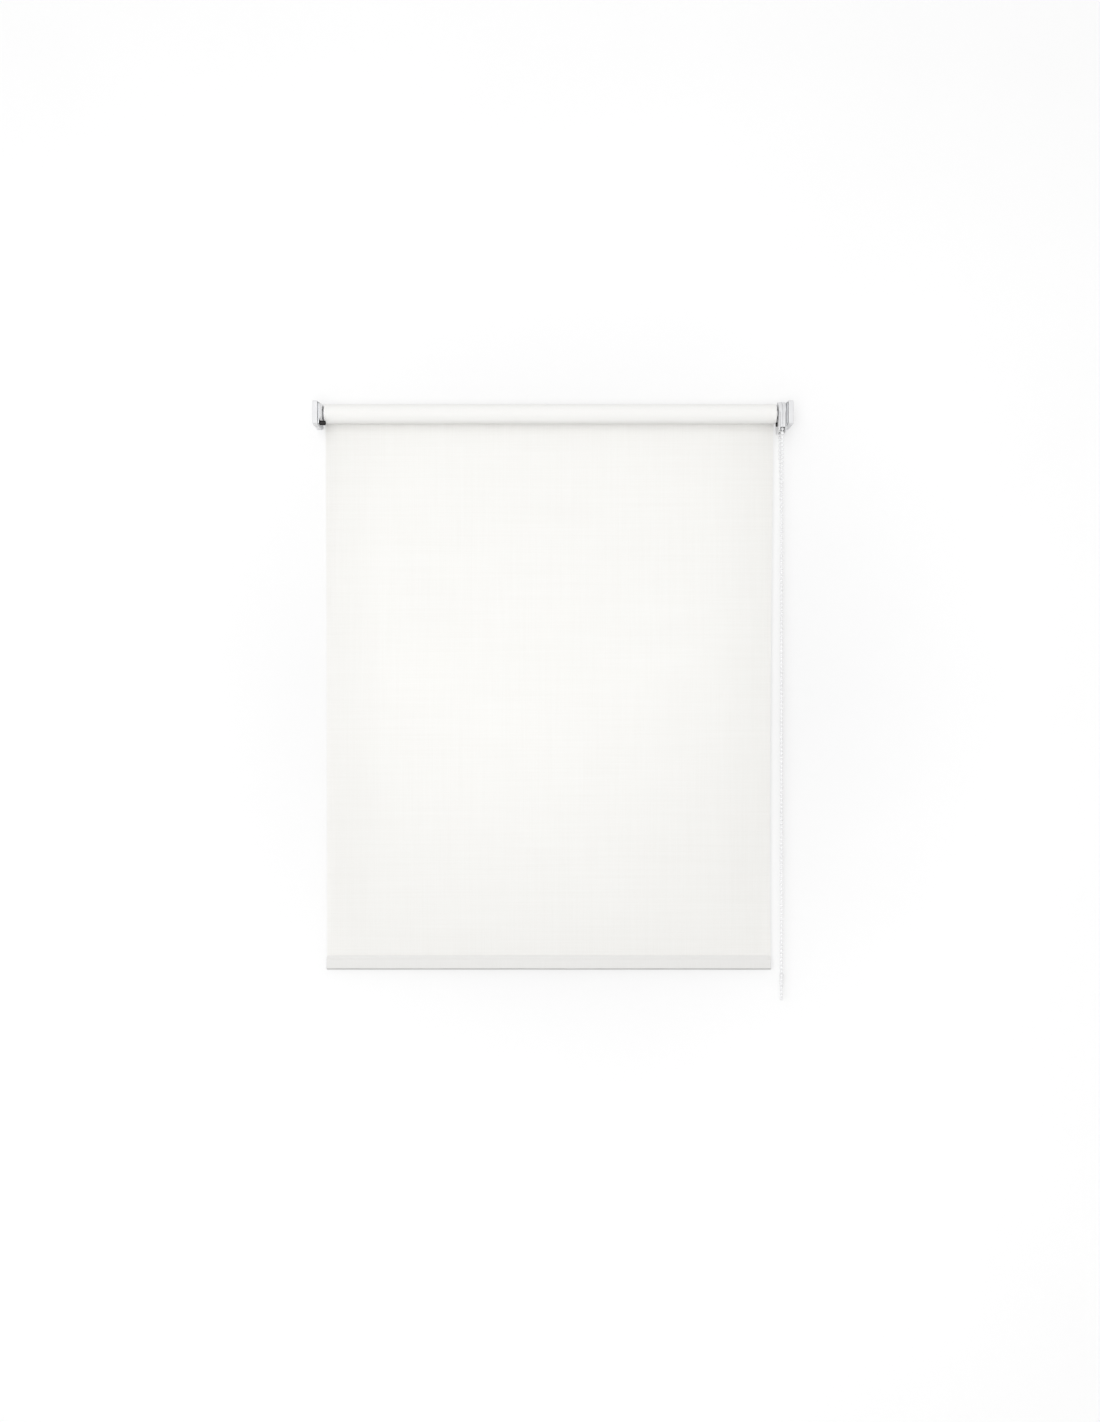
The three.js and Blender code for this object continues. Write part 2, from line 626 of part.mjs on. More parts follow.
const hem = new THREE.Group();
hem.position.y = PANEL.back - FABRIC / 2;
place(hem, 'hem_pocket', hemPocket(), ivoryCloth());
const barBottom = -DROP + 2 * HEM.wall;
place(hem, 'bottom_bar', bottomBar(), aluminium(), [0, 0, barBottom]);
place(hem, 'bottom_bar_cap_left', barCap(-1), whitePlastic(), [0, 0, barBottom]);
place(hem, 'bottom_bar_cap_right', barCap(1), whitePlastic(), [0, 0, barBottom]);
blind.add(hem);
place(blind, 'fabric_panel', fabricPanel(), ivoryCloth());

export default blind;
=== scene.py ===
"""Roller blind with a bead chain, fully lowered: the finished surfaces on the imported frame, in metres."""

import math

import bmesh
import bpy
from mathutils import Matrix, Vector, noise


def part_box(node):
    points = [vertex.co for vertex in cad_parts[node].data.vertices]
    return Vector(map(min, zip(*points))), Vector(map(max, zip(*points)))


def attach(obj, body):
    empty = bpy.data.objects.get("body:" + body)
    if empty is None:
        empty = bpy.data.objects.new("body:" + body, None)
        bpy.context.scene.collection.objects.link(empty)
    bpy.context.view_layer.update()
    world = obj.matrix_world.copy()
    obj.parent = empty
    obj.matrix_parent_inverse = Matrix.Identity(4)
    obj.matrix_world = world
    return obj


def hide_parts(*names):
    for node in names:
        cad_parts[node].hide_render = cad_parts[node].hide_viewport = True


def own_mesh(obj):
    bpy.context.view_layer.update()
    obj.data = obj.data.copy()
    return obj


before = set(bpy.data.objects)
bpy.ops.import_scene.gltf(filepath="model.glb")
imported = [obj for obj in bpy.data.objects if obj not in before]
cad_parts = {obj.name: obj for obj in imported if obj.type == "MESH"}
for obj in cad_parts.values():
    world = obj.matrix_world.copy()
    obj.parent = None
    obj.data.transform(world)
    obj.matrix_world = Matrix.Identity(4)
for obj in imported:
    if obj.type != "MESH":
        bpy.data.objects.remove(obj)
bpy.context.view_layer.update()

MM = 0.001

# ---- Sizes that the pieces share ----

AXIS_Y = -26 * MM
CLOTH = 0.33 * MM
COVER_WALL = 1.6 * MM
COVER_CORNER = 3 * MM
SCREW_SHANK = 1.4 * MM
SCREW_HOLE = 1.75 * MM
LEFT_SCREW_HEAD = 8.7 * MM
RIGHT_SCREW_HEAD = 2.3 * MM
GUARD_WALL = 1.5 * MM
GUARD_LIP_CORNER = 5 * MM
GUARD_RIM_BOTTOM = -22 * MM
GUARD_INNER_HOLE = 8.5 * MM
GUARD_OUTER_HOLE = 3 * MM
BEAD_RADIUS = 2.25 * MM
BEAD_PITCH = 6 * MM
THREAD_RADIUS = 0.6 * MM
WHEEL_POCKETS = 12
STITCH_PITCH = 3.1 * MM
BROKEN_EDGE = 0.12 * MM
WHEEL_PITCH_RADIUS = BEAD_PITCH / 2 / math.sin(math.pi / WHEEL_POCKETS)


# ---- Camera, lights and backdrop ----


def add_camera():
    """A level camera straight in front of the blind, some two metres away."""
    data = bpy.data.cameras.new("camera")
    data.sensor_width = 36
    data.lens = 35.9
    camera = bpy.data.objects.new("camera", data)
    camera.location = (-0.0043, -2.108, -0.436)
    camera.rotation_euler = (math.radians(90), 0, 0)
    bpy.context.collection.objects.link(camera)
    bpy.context.scene.camera = camera


def add_sun(name, towards, strength, softness_deg):
    """A sun that shines from the direction given, as a vector from the object to it."""
    data = bpy.data.lights.new(name, "SUN")
    data.energy = strength
    data.angle = math.radians(softness_deg)
    sun = bpy.data.objects.new(name, data)
    sun.rotation_euler = Vector(towards).to_track_quat("Z", "Y").to_euler()
    bpy.context.collection.objects.link(sun)


def add_softbox(place, size, power):
    """A square soft light that faces the wall, out of the camera's sight."""
    data = bpy.data.lights.new("softbox", "AREA")
    data.size = size
    data.energy = power
    softbox = bpy.data.objects.new("softbox", data)
    softbox.location = place
    softbox.rotation_euler = Vector((0, -1, 0)).to_track_quat("Z", "Y").to_euler()
    softbox.visible_camera = False
    bpy.context.collection.objects.link(softbox)


def add_lights():
    add_sun("key", towards=(-0.4, -1.6, 0.38), strength=0.57, softness_deg=44)
    add_softbox(place=(-0.3, -2.3, -0.6), size=1.1, power=19)
    world = bpy.data.worlds.new("studio")
    world.use_nodes = True
    world.node_tree.nodes["Background"].inputs["Color"].default_value = (1, 1, 1, 1)
    world.node_tree.nodes["Background"].inputs["Strength"].default_value = 0.765
    bpy.context.scene.world = world
    bpy.context.scene.view_settings.view_transform = "Standard"


def add_plane(name, corners, material):
    mesh = bpy.data.meshes.new(name)
    mesh.from_pydata(corners, [], [(0, 1, 2, 3)])
    mesh.materials.append(material)
    plane = bpy.data.objects.new(name, mesh)
    bpy.context.collection.objects.link(plane)


def add_backdrop():
    """A white wall just behind the brackets, a pale floor, and daylight behind the cloth.

    The wall and the daylight are seen only from their front.
    """
    wall_y, floor_z, far = 0.5 * MM, -1.62, 12
    add_plane(
        "wall",
        [(-far, wall_y, floor_z), (far, wall_y, floor_z), (far, wall_y, far), (-far, wall_y, far)],
        wall_paint(),
    )
    add_plane(
        "floor",
        [(-far, -far, floor_z), (far, -far, floor_z), (far, far, floor_z), (-far, far, floor_z)],
        floor_paint(),
    )
    low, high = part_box("fabric_panel")
    side, y = 8 * MM, -0.3 * MM
    left, right, bottom, top = low.x + side, high.x - side, low.z + side, high.z - side
    add_plane(
        "daylight",
        [(left, y, bottom), (right, y, bottom), (right, y, top), (left, y, top)],
        daylight(left, right, bottom, top),
    )


# ---- Node helpers ----


class Nodes:
    """A short way to build one material's node tree."""

    def __init__(self, name):
        self.material = bpy.data.materials.new(name)
        self.material.use_nodes = True
        self.tree = self.material.node_tree
        self.tree.nodes.clear()
        self.output = self.tree.nodes.new("ShaderNodeOutputMaterial")
        self.place = self.add("ShaderNodeTexCoord").outputs["Object"]

    def add(self, kind, **settings):
        node = self.tree.nodes.new(kind)
        for key, value in settings.items():
            setattr(node, key, value)
        return node

    def put(self, node, **inputs):
        """Sets or links a node's inputs: i0, i1 and so on by place, others by name with _ for a space."""
        for key, value in inputs.items():
            by_index = key[0] == "i" and key[1:].isdigit()
            socket = node.inputs[int(key[1:]) if by_index else key.replace("_", " ")]
            if isinstance(value, bpy.types.NodeSocket):
                self.tree.links.new(value, socket)
            else:
                socket.default_value = value
        return node

    def math(self, operation, *values):
        node = self.add("ShaderNodeMath", operation=operation)
        for i, value in enumerate(values):
            self.put(node, **{f"i{i}": value})
        return node.outputs[0]

    def stretched(self, scale):
        """The object's coordinates times a scale along each axis."""
        node = self.add("ShaderNodeVectorMath", operation="MULTIPLY")
        return self.put(node, i0=self.place, i1=scale).outputs[0]

    def noise(self, scale, detail=4.0, roughness=0.55, vector=None):
        node = self.add("ShaderNodeTexNoise")
        self.put(node, Vector=vector or self.place, Scale=scale, Detail=detail, Roughness=roughness)
        return node.outputs["Fac"]

    def spread(self, value, low, high, from_low=0.3, from_high=0.7):
        """A value between 0 and 1, drawn out to run from low to high."""
        node = self.add("ShaderNodeMapRange")
        self.put(node, Value=value, From_Min=from_low, From_Max=from_high, To_Min=low, To_Max=high)
        return node.outputs["Result"]

    def between(self, share, dark, light):
        """A colour between two others, the second of which may be another node's."""
        node = self.add("ShaderNodeMix", data_type="RGBA")
        light = light if isinstance(light, bpy.types.NodeSocket) else (*light, 1)
        self.put(node, Factor=share, i6=(*dark, 1), i7=light)
        return node.outputs[2]

    def bump(self, height, distance, strength=1.0, normal=None):
        node = self.add("ShaderNodeBump")
        self.put(node, Height=height, Distance=distance, Strength=strength)
        if normal is not None:
            self.put(node, Normal=normal)
        return node.outputs["Normal"]

    def principled(self, **inputs):
        return self.put(self.add("ShaderNodeBsdfPrincipled"), **inputs).outputs[0]

    def finish(self, shader):
        self.tree.links.new(shader, self.output.inputs["Surface"])
        return self.material


# ---- Materials of the backdrop ----


def one_sided(nodes, shader):
    """The shader on a face's front, and nothing on its back, so that a wall doesn't hide what hangs on it."""
    facing = nodes.add("ShaderNodeNewGeometry").outputs["Backfacing"]
    clear = nodes.add("ShaderNodeBsdfTransparent").outputs[0]
    return nodes.put(nodes.add("ShaderNodeMixShader"), i0=facing, i1=shader, i2=clear).outputs[0]


def wall_paint():
    """White paint with some light of its own, more of it far from the blind, to look evenly white."""
    nodes = Nodes("wall_paint")
    blind_middle, near, far = (0.0, 0.0, -0.45), 0.3, 0.7
    own_near, own_far = 0.41, 0.5
    tone = nodes.between(nodes.spread(nodes.noise(3.0), 0, 1), (0.44, 0.44, 0.44), (0.45, 0.45, 0.45))
    paint = nodes.put(nodes.add("ShaderNodeBsdfDiffuse"), Color=tone).outputs[0]
    away = nodes.add("ShaderNodeVectorMath", operation="DISTANCE")
    nodes.put(away, i0=nodes.place, i1=blind_middle)
    own = nodes.spread(away.outputs["Value"], own_near, own_far, near, far)
    glow = nodes.put(nodes.add("ShaderNodeEmission"), Color=(1, 1, 1, 1), Strength=own).outputs[0]
    both = nodes.put(nodes.add("ShaderNodeAddShader"), i0=paint, i1=glow).outputs[0]
    nodes.material.cycles.emission_sampling = "NONE"
    return nodes.finish(one_sided(nodes, both))


def floor_paint():
    nodes = Nodes("floor_paint")
    tone = nodes.between(nodes.spread(nodes.noise(2.0), 0, 1), (0.68, 0.68, 0.68), (0.71, 0.71, 0.71))
    return nodes.finish(nodes.principled(Base_Color=tone, Roughness=0.7))


def daylight(left, right, bottom, top):
    """Light from a window behind the cloth: a soft-edged rectangle and a round, brighter part."""
    nodes = Nodes("daylight")
    strongest, pane_share, sun_share = 0.5, 0.25, 0.75
    sun_middle, sun_inner, sun_outer = (-0.055, 0.0, -0.2), 0.2, 0.62
    soft, inset = 60 * MM, 25 * MM
    split = nodes.put(nodes.add("ShaderNodeSeparateXYZ"), Vector=nodes.place)
    across, up = split.outputs["X"], split.outputs["Z"]

    def fade(value, edge, inside):
        node = nodes.add("ShaderNodeMapRange", interpolation_type="SMOOTHSTEP")
        return nodes.put(node, Value=value, From_Min=edge, From_Max=inside).outputs["Result"]

    left_side = fade(across, left + inset, left + inset + soft)
    right_side = fade(across, right - inset, right - inset - soft)
    sides = nodes.math("MULTIPLY", left_side, right_side)
    ends = nodes.math("MULTIPLY", fade(up, bottom, bottom + soft), fade(up, top, top - soft / 2))
    pane = nodes.math("MULTIPLY", nodes.math("MULTIPLY", sides, ends), pane_share)
    away = nodes.add("ShaderNodeVectorMath", operation="DISTANCE")
    nodes.put(away, i0=nodes.place, i1=sun_middle)
    sun_side = nodes.math("MULTIPLY", fade(away.outputs["Value"], sun_outer, sun_inner), sun_share)
    strength = nodes.math("MULTIPLY", nodes.math("ADD", pane, sun_side), strongest)
    glow = nodes.put(nodes.add("ShaderNodeEmission"), Color=(0.93, 0.96, 1, 1), Strength=strength).outputs[0]
    clear = nodes.add("ShaderNodeBsdfTransparent").outputs[0]
    both = nodes.put(nodes.add("ShaderNodeAddShader"), i0=glow, i1=clear).outputs[0]
    return nodes.finish(one_sided(nodes, both))


# ---- Materials of the blind ----


def woven_cloth(name, light_through, whiteness, painted_fold_shade=False):
    """A plain weave of fine ivory yarn with some thicker yarns, that lets a share of the light through.

    A hem's cloth may carry painted shade: its lowest fold greyed to stand for the bar's shaded underside.
    """
    nodes = Nodes(name)

    def ivory(red, green, blue):
        return red * whiteness, green * whiteness, blue * whiteness

    yarn = 0.55 * MM
    split = nodes.put(nodes.add("ShaderNodeSeparateXYZ"), Vector=nodes.place)
    turns = math.pi / yarn
    warp = nodes.math("SINE", nodes.math("MULTIPLY", split.outputs["X"], turns))
    weft = nodes.math("SINE", nodes.math("MULTIPLY", split.outputs["Z"], turns))
    over = nodes.math("MULTIPLY", warp, weft)
    crossings = nodes.math("MULTIPLY", nodes.math("ADD", over, 1.0), 0.5)
    thick_warp = nodes.noise(1.0, 3.0, 0.5, nodes.stretched((900, 900, 9)))
    thick_weft = nodes.noise(1.0, 3.0, 0.5, nodes.stretched((7, 900, 800)))
    slubs = nodes.math("MULTIPLY", nodes.math("ADD", thick_warp, thick_weft), 0.5)
    patches = nodes.noise(7.0, 2.0)
    shade = nodes.math("ADD", nodes.math("MULTIPLY", slubs, 0.6), nodes.math("MULTIPLY", crossings, 0.25))
    shade = nodes.math("ADD", shade, nodes.math("MULTIPLY", patches, 0.15))
    dark, light = ivory(0.935, 0.928, 0.907), ivory(0.97, 0.966, 0.952)
    colour = nodes.between(nodes.spread(shade, 0, 1), dark, light)
    through_dark, through_light = ivory(0.93, 0.923, 0.9), ivory(1.0, 0.995, 0.98)
    through = nodes.between(nodes.spread(slubs, 0, 1), through_dark, through_light)
    # Painted shade: the lowest two millimetres of the hem are greyed to stand for the bar's shaded underside.
    if painted_fold_shade:
        grey, grey_end, unshaded_start, wander = (0.3, 0.3, 0.29), 0.4 * MM, 2.1 * MM, 0.6 * MM
        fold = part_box("hem_pocket")[0].z
        edge = nodes.math("ADD", fold, nodes.math("MULTIPLY", nodes.noise(40.0, 3.0), wander))
        above = nodes.math("SUBTRACT", split.outputs["Z"], edge)
        colour = nodes.between(nodes.spread(above, 0, 1, grey_end, unshaded_start), grey, colour)
    relief = nodes.math("ADD", crossings, nodes.math("MULTIPLY", slubs, 1.2))
    normal = nodes.bump(relief, 0.05 * MM, 0.6)
    front = nodes.principled(
        Base_Color=colour, Roughness=nodes.spread(slubs, 0.78, 0.92), Sheen_Weight=0.12, Normal=normal)
    behind = nodes.put(nodes.add("ShaderNodeBsdfTranslucent"), Color=through, Normal=normal).outputs[0]
    mixed = nodes.put(nodes.add("ShaderNodeMixShader"), i0=light_through, i1=front, i2=behind).outputs[0]
    return nodes.finish(mixed)


def moulded_plastic(name, dark, light, roughness, grain=0.02 * MM):
    """White moulded plastic: a fine spark-eroded grain, faint flow marks and a slightly uneven gloss."""
    nodes = Nodes(name)
    flow = nodes.noise(1.0, 3.0, 0.6, nodes.stretched((90, 60, 30)))
    specks = nodes.noise(4200, 2.0)
    shade = nodes.math("ADD", nodes.math("MULTIPLY", flow, 0.75), nodes.math("MULTIPLY", specks, 0.25))
    colour = nodes.between(nodes.spread(shade, 0, 1), dark, light)
    gloss = nodes.spread(nodes.noise(160, 3.0), roughness - 0.06, roughness + 0.08)
    normal = nodes.bump(specks, grain, 0.5)
    return nodes.finish(nodes.principled(Base_Color=colour, Roughness=gloss, Normal=normal))


def drawn_metal(name, dark, light, roughness, along):
    """Bare metal with fine lines that run one way, dull patches and faint scratches."""
    nodes = Nodes(name)
    lines = nodes.noise(1.0, 5.0, 0.6, nodes.stretched(along))
    patches = nodes.noise(120, 3.0)
    shade = nodes.math("ADD", nodes.math("MULTIPLY", lines, 0.6), nodes.math("MULTIPLY", patches, 0.4))
    colour = nodes.between(nodes.spread(shade, 0, 1), dark, light)
    gloss = nodes.spread(shade, roughness - 0.08, roughness + 0.12)
    normal = nodes.bump(lines, 0.01 * MM, 0.5)
    return nodes.finish(nodes.principled(Base_Color=colour, Metallic=1.0, Roughness=gloss, Normal=normal))


def blackened_steel():
    """Black oxide on a screw, worn to grey in places."""
    nodes = Nodes("blackened_steel")
    wear = nodes.noise(1400, 5.0, 0.65)
    colour = nodes.between(nodes.spread(wear, 0, 1, 0.62, 0.8), (0.012, 0.011, 0.011), (0.16, 0.155, 0.15))
    gloss = nodes.spread(wear, 0.5, 0.34)
    normal = nodes.bump(nodes.noise(2600, 3.0), 0.03 * MM, 0.6)
    return nodes.finish(nodes.principled(Base_Color=colour, Metallic=0.55, Roughness=gloss, Normal=normal))


def make_materials():
    """Every finish of the blind, by what it is on."""
    pale_aluminium = ((0.62, 0.63, 0.64), (0.76, 0.77, 0.77))
    return {
        "cloth": woven_cloth("hanging_weave", 0.36, 0.925),
        "wound": woven_cloth("wound_weave", 0.1, 0.92),
        # Painted shade: the hem's weave is the hanging cloth's made darker, at 0.84 of white against 0.925.
        "hem": woven_cloth("hem_weave", 0.2, 0.84, painted_fold_shade=True),
        "cover": moulded_plastic("cover_plastic", (0.66, 0.665, 0.675), (0.73, 0.732, 0.74), 0.42),
        "plug": moulded_plastic("plug_plastic", (0.8, 0.8, 0.805), (0.86, 0.86, 0.865), 0.36),
        "bead": moulded_plastic("bead_plastic", (0.77, 0.775, 0.785), (0.84, 0.84, 0.845), 0.25, 0.008 * MM),
        "steel": drawn_metal("zinc_plate", (0.42, 0.43, 0.45), (0.6, 0.61, 0.62), 0.36, (60, 60, 2600)),
        "spring": drawn_metal("spring_wire", (0.4, 0.41, 0.42), (0.58, 0.58, 0.58), 0.28, (900, 900, 900)),
        "aluminium": drawn_metal("drawn_aluminium", *pale_aluminium, 0.38, (14, 2400, 2400)),
        "screw": blackened_steel(),
    }


# ---- Mesh helpers ----


def arc(centre, radius, start, end, steps):
    """Points on an arc, its ends included, with its angles in degrees."""
    angles = [math.radians(start + (end - start) * i / steps) for i in range(steps + 1)]
    return [(centre[0] + radius * math.cos(a), centre[1] + radius * math.sin(a)) for a in angles]


def subdivided(outline, longest):
    """The closed outline with points added so that no side is longer than that."""
    points = []
    for (y0, z0), (y1, z1) in zip(outline, outline[1:] + outline[:1]):
        count = max(1, math.ceil(math.hypot(y1 - y0, z1 - z0) / longest))
        points += [(y0 + (y1 - y0) * i / count, z0 + (z1 - z0) * i / count) for i in range(count)]
    return points


def rounded_rectangle(low, high, corner, steps=6):
    (y0, z0), (y1, z1) = low, high
    corners = [(y1, z0, -90), (y1, z1, 0), (y0, z1, 90), (y0, z0, 180)]
    points = []
    for y, z, start in corners:
        centre = (y - math.copysign(corner, y - (y0 + y1) / 2), z - math.copysign(corner, z - (z0 + z1) / 2))
        points += arc(centre, corner, start, start + 90, steps)
    return points


def shrunk(outline, inset):
    """The closed anticlockwise outline, moved inwards."""
    points = []
    for i, (y, z) in enumerate(outline):
        (y0, z0), (y1, z1) = outline[i - 1], outline[(i + 1) % len(outline)]
        length = math.hypot(y1 - y0, z1 - z0)
        points.append((y - inset * (z1 - z0) / length, z + inset * (y1 - y0) / length))
    return points


def circle_at(points, radius, centre=(0.0, 0.0)):
    """Points on a circle, each in the direction of one of the points given."""
    angles = [math.atan2(z - centre[1], y - centre[0]) for y, z in points]
    return [(centre[0] + radius * math.cos(a), centre[1] + radius * math.sin(a)) for a in angles]


def edge_round(face, inwards, radius, steps=4):
    """(x, inset) pairs that turn from a side wall into the face at x = face; the solid is inwards of it."""
    turns = [math.radians(90 * i / steps) for i in range(steps + 1)]
    return [(face + inwards * radius * (1 - math.sin(a)), radius * (1 - math.cos(a))) for a in turns]


def loft(bm, rings, closed=False):
    """Quads between rings of points, in order; the last ring joins the first, or both ends are capped."""
    made = [[bm.verts.new(p) for p in ring] for ring in rings]
    count = len(made[0])
    pairs = zip(made, made[1:] + made[:1]) if closed else zip(made, made[1:])
    for first, second in pairs:
        for i in range(count):
            j = (i + 1) % count
            bm.faces.new((first[i], first[j], second[j], second[i]))
    if not closed:
        bm.faces.new(made[0])
        bm.faces.new(made[-1][::-1])


def at_x(outline, x, centre=(0.0, 0.0)):
    return [(x, y + centre[0], z + centre[1]) for y, z in outline]


def lathe(bm, profile, segments, centre=(AXIS_Y, 0.0), closed=True):
    """A turned body along X from (x, radius) points: a closed profile is a ring, an open one is capped."""
    directions = arc((0, 0), 1, 0, 360 - 360 / segments, segments - 1)
    rings = [[(x, centre[0] + r * y, centre[1] + r * z) for y, z in directions] for x, r in profile]
    loft(bm, rings, closed)


def softened(profile, radius, steps=3):
    """The closed profile with its corners rounded, as far as its sides allow."""
    result = []
    count, longest_share = len(profile), 0.4
    for i, corner in enumerate(profile):
        here = Vector(corner)
        before, after = Vector(profile[i - 1]) - here, Vector(profile[(i + 1) % count]) - here
        reach = min(radius, before.length * longest_share, after.length * longest_share)
        start, end = here + before.normalized() * reach, here + after.normalized() * reach
        for k in range(steps + 1):
            t = k / steps
            result.append(tuple(start.lerp(here, t).lerp(here.lerp(end, t), t)))
    return result


def add_block(bm, low, high, turn=Matrix.Identity(4)):
    centre, size = (Vector(low) + Vector(high)) / 2, Vector(high) - Vector(low)
    matrix = turn @ Matrix.Translation(centre) @ Matrix.Diagonal((*size, 1))
    made = bmesh.ops.create_cube(bm, size=1, matrix=matrix)["verts"]
    edges = {edge for vert in made for edge in vert.link_edges}
    bmesh.ops.bevel(bm, geom=list(edges), offset=min(size) * 0.15, segments=2, affect="EDGES", profile=0.5)


def tube_along(bm, points, radius, sides):
    """A round tube along points, with its section carried on without twist."""
    points = [Vector(p) for p in points]
    ahead = (points[1] - points[0]).normalized()
    side = ahead.orthogonal().normalized()
    rings = []
    for i, point in enumerate(points):
        tangent = (points[min(i + 1, len(points) - 1)] - points[max(i - 1, 0)]).normalized()
        side = (side - tangent * side.dot(tangent)).normalized()
        other = tangent.cross(side)
        ring = []
        for k in range(sides):
            angle = 2 * math.pi * k / sides
            ring.append(point + (side * math.cos(angle) + other * math.sin(angle)) * radius)
        rings.append(ring)
    loft(bm, rings)


def add_ball(bm, centre, radius, segments=14, rings=9):
    """A ball of quads, with small flat ends in place of poles."""
    x, y, z = centre
    levels = arc((0, 0), radius, -86, 86, rings)
    around = arc((0, 0), 1, 0, 360 - 360 / segments, segments - 1)
    loft(bm, [[(x + r * a, y + r * b, z + up) for a, b in around] for r, up in levels])


def to_object(bm, name, material, smooth_deg=35):
    bmesh.ops.recalc_face_normals(bm, faces=bm.faces)
    mesh = bpy.data.meshes.new(name)
    bm.to_mesh(mesh)
    bm.free()
    mesh.polygons.foreach_set("use_smooth", [True] * len(mesh.polygons))
    mesh.set_sharp_from_angle(angle=math.radians(smooth_deg))
    mesh.materials.append(material)
    made = bpy.data.objects.new(name, mesh)
    bpy.context.collection.objects.link(made)
    return made


def carve(base, *tools):
    """Cuts the tools out of base and takes them away."""
    for tool in tools:
        cut = base.modifiers.new("cut", "BOOLEAN")
        cut.operation = "DIFFERENCE"
        cut.solver = "EXACT"
        cut.object = tool
        evaluated = base.evaluated_get(bpy.context.evaluated_depsgraph_get())
        mesh = bpy.data.meshes.new_from_object(evaluated)
        base.modifiers.clear()
        base.data = mesh
        bpy.data.objects.remove(tool)
    mesh.set_sharp_from_angle(angle=math.radians(35))
    return base


def place(piece, body, slot, *nodes):
    """Puts a piece on its body in place of CAD nodes; its slot is not used."""
    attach(piece, body)
    if nodes:
        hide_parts(*nodes)
    return piece


# ---- Bead chain ----


def chain_route():
    """The free loop: down the front, round the bottom and up the back, as the CAD's tube runs."""
    chain_low, chain_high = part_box("bead_chain")
    wheel_low, wheel_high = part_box("wheel_beads")
    x, top = (wheel_low.x + wheel_high.x) / 2, chain_high.z
    bend = chain_low.z + BEAD_RADIUS + WHEEL_PITCH_RADIUS
    run_steps, bend_steps = 34, 12
    heights = [top + (bend - top) * i / run_steps for i in range(run_steps)]
    path = [(AXIS_Y - WHEEL_PITCH_RADIUS, z) for z in heights]
    path += arc((AXIS_Y, bend), WHEEL_PITCH_RADIUS, 180, 360, bend_steps)
    path += [(AXIS_Y + WHEEL_PITCH_RADIUS, z) for z in reversed(heights)]
    return [(x + chain_twist(y, z), y, z) for y, z in path]


def chain_twist(y, z):
    """How far the loop has turned aside at a height: its front run to the left, its back run to the right."""
    front, back, start, end = -1.2 * MM, 2.6 * MM, -30 * MM, -150 * MM
    share = max(0.0, min(1.0, (start - z) / (start - end)))
    side = (y - AXIS_Y) / WHEEL_PITCH_RADIUS * (back - front) / 2
    return ((front + back) / 2 + side) * share * share * (3 - 2 * share)


def along(points, step, start):
    """Points a step apart along a polyline, the first of them at a distance of start from its beginning."""
    places, wanted, passed = [], start, 0.0
    for a, b in zip(map(Vector, points), map(Vector, points[1:])):
        length = (b - a).length
        while wanted <= passed + length:
            places.append(a.lerp(b, (wanted - passed) / length))
            wanted += step
        passed += length
    return places


def bead_chain(materials):
    route = chain_route()
    bm = bmesh.new()
    tube_along(bm, route, THREAD_RADIUS, 8)
    first_bead = 1 * MM
    for centre in along(route, BEAD_PITCH, first_bead):
        add_ball(bm, centre, BEAD_RADIUS)
    chain = to_object(bm, "hanging_bead_chain", materials["bead"], 60)
    place(chain, "mounting", "bead_plastic", "bead_chain")
    connector = chain_connector(materials)


def chain_connector(materials):
    """A barrel of two halves that snap over the last beads of each end."""
    low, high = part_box("chain_connector")
    radius, half = (high.x - low.x) / 2, (high.z - low.z) / 2
    bore, waist = 2.55 * MM, radius - 0.35 * MM
    outside = [(-half, radius - 0.5 * MM), (-half + 1.2 * MM, radius)]
    outside += [(-1.4 * MM, radius), (-0.7 * MM, waist)]
    outside += [(-x, r) for x, r in reversed(outside)]
    profile = softened([(-half, bore), *outside, (half, bore)], 0.3 * MM)
    bm = bmesh.new()
    lathe(bm, profile, 28, centre=(0.0, 0.0))
    stand_up = Matrix.Translation((low + high) / 2) @ Matrix.Rotation(math.radians(90), 4, "Y")
    bm.transform(stand_up)
    connector = to_object(bm, "moulded_chain_connector", materials["bead"])
    return place(connector, "chain_connector", "bead_plastic", "chain_connector")


def wheel_beads(materials):
    """The beads that lie on the upper half of the chain wheel, on their thread."""
    low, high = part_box("wheel_beads")
    x = (low.x + high.x) / 2
    path = [(x, y, z) for y, z in arc((AXIS_Y, 0), WHEEL_PITCH_RADIUS, 0, 180, 36)]
    bm = bmesh.new()
    tube_along(bm, path, THREAD_RADIUS, 8)
    for y, z in arc((AXIS_Y, 0), WHEEL_PITCH_RADIUS, 0, 180, WHEEL_POCKETS // 2):
        add_ball(bm, (x, y, z), BEAD_RADIUS)
    place(to_object(bm, "beads_on_wheel", materials["bead"], 60), "roller", "bead_plastic", "wheel_beads")


# ---- Brackets' covers, guard, socket and screws ----


